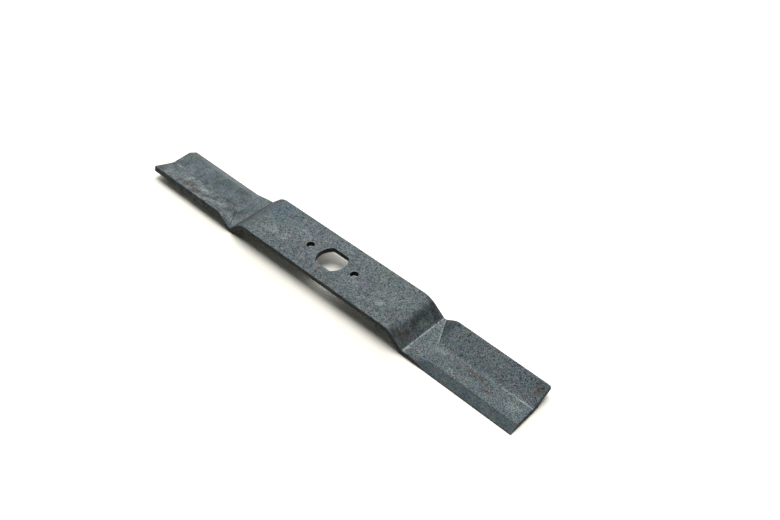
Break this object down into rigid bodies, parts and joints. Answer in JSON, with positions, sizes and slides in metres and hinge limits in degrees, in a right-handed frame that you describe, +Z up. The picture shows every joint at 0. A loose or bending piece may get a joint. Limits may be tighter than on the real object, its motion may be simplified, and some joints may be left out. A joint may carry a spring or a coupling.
{
  "type": "rotary mower blade",
  "caption": "Flat steel rotary mower blade with a keyed centre hole, drive-pin holes, a step down at each side of the hub and winged ends that carry a ground cutting edge and a raised sail.",
  "frame": {"origin": "on the axis of the centre hole, in the plane that the undersides of the two wings rest on", "axes": "+X along the blade, +Y across it toward the sail of the +X end, +Z up along the hole axis"},
  "size_m": [0.4314, 0.0528, 0.0185],
  "materials": {
    "scaled_steel": "dark blue-grey mill scale, matt and mottled, with light rust and bright worn creases"
  },
  "bodies": {
    "root": {"blade": "scaled_steel"}
  },
  "joints": []
}
